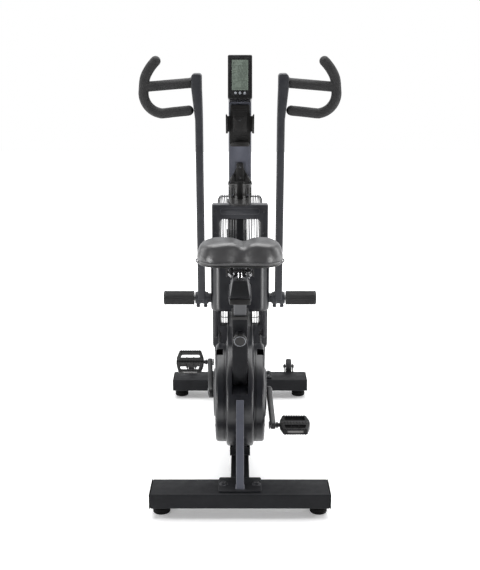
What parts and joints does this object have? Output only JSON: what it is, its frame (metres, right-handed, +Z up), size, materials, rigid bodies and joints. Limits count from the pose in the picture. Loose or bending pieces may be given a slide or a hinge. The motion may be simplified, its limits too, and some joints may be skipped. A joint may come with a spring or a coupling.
{
  "type": "air bike",
  "caption": "Stationary exercise bike: pedals and swinging arms drive a wire-caged fan; padded saddle on an angled post, mast with console, box-section stabilisers.",
  "frame": {"origin": "on the floor, under the middle of the bike's overall box", "axes": "+Z up, +Y to the front of the bike, where the fan is, +X to the rider's right"},
  "size_m": [0.674, 1.3, 1.4167],
  "materials": {
    "frame_coat": "fine textured black powder coat",
    "mast_coat": "satin blue-grey powder coat",
    "casing_plastic": "satin moulded black",
    "cage_coat": "gloss black coated wire",
    "fan_coat": "satin black",
    "bright_steel": "machined zinc-plated",
    "belt_rubber": "ribbed matte",
    "foot_rubber": "matte",
    "wheel_rubber": "matte",
    "grip_rubber": "matte foam grip",
    "peg_rubber": "ribbed matte",
    "arm_coat": "satin powder coat",
    "crank_coat": "satin black",
    "pedal_plastic": "moulded matte",
    "moulded_plastic": "moulded satin",
    "post_coat": "satin black",
    "clamp_chrome": "bright",
    "saddle_vinyl": "grained black vinyl",
    "console_plastic": "satin-gloss black",
    "display_lens": "grey-green liquid-crystal display",
    "button_plastic": "grey moulded"
  },
  "bodies": {
    "frame": {"rear_stabiliser": "frame_coat", "front_stabiliser": "frame_coat", "main_beam": "frame_coat", "rear_strut": "mast_coat", "seat_tube": "frame_coat", "front_post": "frame_coat", "fork_frame": "frame_coat", "front_fork": "frame_coat", "mast": "mast_coat", "casing_left": "casing_plastic", "casing_right": "casing_plastic", "crank_cover_left": "casing_plastic", "crank_cover_right": "casing_plastic", "wind_guard": "casing_plastic", "cage_left": "cage_coat", "cage_right": "cage_coat", "fan_axle": "bright_steel", "pivot_shaft": "bright_steel", "foot_peg_left": "peg_rubber", "foot_peg_right": "peg_rubber", "bottle_cage": "moulded_plastic", "device_holder": "moulded_plastic", "console_housing": "console_plastic", "display_lens": "display_lens", "seat_tube_bushing": "moulded_plastic", "drive_belt": "belt_rubber"},
    "crank": {"crank_axle": "bright_steel", "crank_pulley": "bright_steel", "crank_arm_left": "crank_coat", "crank_arm_right": "crank_coat"},
    "pedal_left": {"pedal_left": "pedal_plastic"},
    "pedal_right": {"pedal_right": "pedal_plastic"},
    "fan": {"fan_wheel": "fan_coat", "fan_pulley": "bright_steel"},
    "arm_left": {"arm_hub_left": "arm_coat", "arm_left": "arm_coat", "handle_left": "grip_rubber"},
    "arm_right": {"arm_hub_right": "arm_coat", "arm_right": "arm_coat", "handle_right": "grip_rubber"},
    "con_rod_left": {"con_rod_left": "bright_steel"},
    "con_rod_right": {"con_rod_right": "bright_steel"},
    "seat_post": {"seat_post": "post_coat", "slider_rail": "post_coat", "slider_end_cap": "moulded_plastic"},
    "height_knob": {"height_knob": "moulded_plastic"},
    "slider_knob": {"slider_knob": "moulded_plastic"},
    "seat_carriage": {"seat_carriage": "post_coat", "seat_clamp": "clamp_chrome"},
    "saddle": {"saddle_pan": "moulded_plastic", "saddle_pad": "saddle_vinyl"},
    "button_left": {"button_left": "button_plastic"},
    "button_middle": {"button_middle": "button_plastic"},
    "button_right": {"button_right": "button_plastic"},
    "transport_wheel_left": {"transport_wheel_left": "wheel_rubber"},
    "transport_wheel_right": {"transport_wheel_right": "wheel_rubber"},
    "levelling_foot_rear_left": {"levelling_foot_rear_left": "foot_rubber"},
    "levelling_foot_rear_right": {"levelling_foot_rear_right": "foot_rubber"},
    "levelling_foot_front_left": {"levelling_foot_front_left": "foot_rubber"},
    "levelling_foot_front_right": {"levelling_foot_front_right": "foot_rubber"}
  },
  "joints": [
    {"name": "crank_spin", "type": "hinge", "parent": "frame", "child": "crank", "pos_m": [0, -0.32, 0.3], "axis": [1, 0, 0], "continuous": true},
    {"name": "fan_spin", "type": "hinge", "parent": "frame", "child": "fan", "pos_m": [0, 0.335, 0.57], "axis": [1, 0, 0], "continuous": true},
    {"name": "pedal_left_spin", "type": "hinge", "parent": "crank", "child": "pedal_left", "pos_m": [0, -0.15832, 0.35253], "axis": [1, 0, 0], "continuous": true},
    {"name": "pedal_right_spin", "type": "hinge", "parent": "crank", "child": "pedal_right", "pos_m": [0, -0.48168, 0.24747], "axis": [1, 0, 0], "continuous": true},
    {"name": "arm_left_swing", "type": "hinge", "parent": "frame", "child": "arm_left", "pos_m": [0, -0.12, 0.58], "axis": [1, 0, 0], "range_deg": [-10, 10]},
    {"name": "arm_right_swing", "type": "hinge", "parent": "frame", "child": "arm_right", "pos_m": [0, -0.12, 0.58], "axis": [1, 0, 0], "range_deg": [-10, 10]},
    {"name": "con_rod_left_swing", "type": "hinge", "parent": "arm_left", "child": "con_rod_left", "pos_m": [0, -0.123, 0.446], "axis": [1, 0, 0], "range_deg": [-15, 15]},
    {"name": "con_rod_right_swing", "type": "hinge", "parent": "arm_right", "child": "con_rod_right", "pos_m": [0, -0.123, 0.446], "axis": [1, 0, 0], "range_deg": [-15, 15]},
    {"name": "seat_post_slide", "type": "slide", "parent": "frame", "child": "seat_post", "axis": [0, -0.2823, 0.9593], "range_m": [-0.03, 0.2]},
    {"name": "height_knob_pull", "type": "slide", "parent": "frame", "child": "height_knob", "axis": [0, -0.9593, -0.2823], "range_m": [0, 0.012], "stiffness_N_per_m": 900, "springref_m": -0.004},
    {"name": "slider_knob_pull", "type": "slide", "parent": "seat_post", "child": "slider_knob", "axis": [0, 0, -1], "range_m": [0, 0.008], "stiffness_N_per_m": 900, "springref_m": -0.004},
    {"name": "seat_slide", "type": "slide", "parent": "seat_post", "child": "seat_carriage", "axis": [0, 1, 0], "range_m": [0, 0.065]},
    {"name": "saddle_tilt", "type": "hinge", "parent": "seat_carriage", "child": "saddle", "pos_m": [0, -0.485, 0.757], "axis": [1, 0, 0], "range_deg": [-8, 8]},
    {"name": "button_left_press", "type": "slide", "parent": "frame", "child": "button_left", "axis": [0, 0.9659, -0.2588], "range_m": [0, 0.0015], "stiffness_N_per_m": 300, "springref_m": -0.001},
    {"name": "button_middle_press", "type": "slide", "parent": "frame", "child": "button_middle", "axis": [0, 0.9659, -0.2588], "range_m": [0, 0.0015], "stiffness_N_per_m": 300, "springref_m": -0.001},
    {"name": "button_right_press", "type": "slide", "parent": "frame", "child": "button_right", "axis": [0, 0.9659, -0.2588], "range_m": [0, 0.0015], "stiffness_N_per_m": 300, "springref_m": -0.001},
    {"name": "transport_wheel_left_spin", "type": "hinge", "parent": "frame", "child": "transport_wheel_left", "pos_m": [-0.213, 0.536, 0.095], "axis": [1, 0, 0], "continuous": true},
    {"name": "transport_wheel_right_spin", "type": "hinge", "parent": "frame", "child": "transport_wheel_right", "pos_m": [0.213, 0.536, 0.095], "axis": [1, 0, 0], "continuous": true},
    {"name": "levelling_foot_rear_left_turn", "type": "hinge", "parent": "frame", "child": "levelling_foot_rear_left", "pos_m": [-0.25, -0.595, 0], "axis": [0, 0, 1], "continuous": true},
    {"name": "levelling_foot_rear_right_turn", "type": "hinge", "parent": "frame", "child": "levelling_foot_rear_right", "pos_m": [0.25, -0.595, 0], "axis": [0, 0, 1], "continuous": true},
    {"name": "levelling_foot_front_left_turn", "type": "hinge", "parent": "frame", "child": "levelling_foot_front_left", "pos_m": [-0.25, 0.441, 0], "axis": [0, 0, 1], "continuous": true},
    {"name": "levelling_foot_front_right_turn", "type": "hinge", "parent": "frame", "child": "levelling_foot_front_right", "pos_m": [0.25, 0.441, 0], "axis": [0, 0, 1], "continuous": true}
  ],
  "couplings": [
    {"joint": "fan_spin", "follows": "crank_spin", "ratio": 3.5},
    {"joint": "arm_right_swing", "follows": "arm_left_swing", "ratio": -1},
    {"joint": "con_rod_left_swing", "follows": "arm_left_swing", "ratio": -1.4},
    {"joint": "con_rod_right_swing", "follows": "arm_left_swing", "ratio": 1.4}
  ]
}
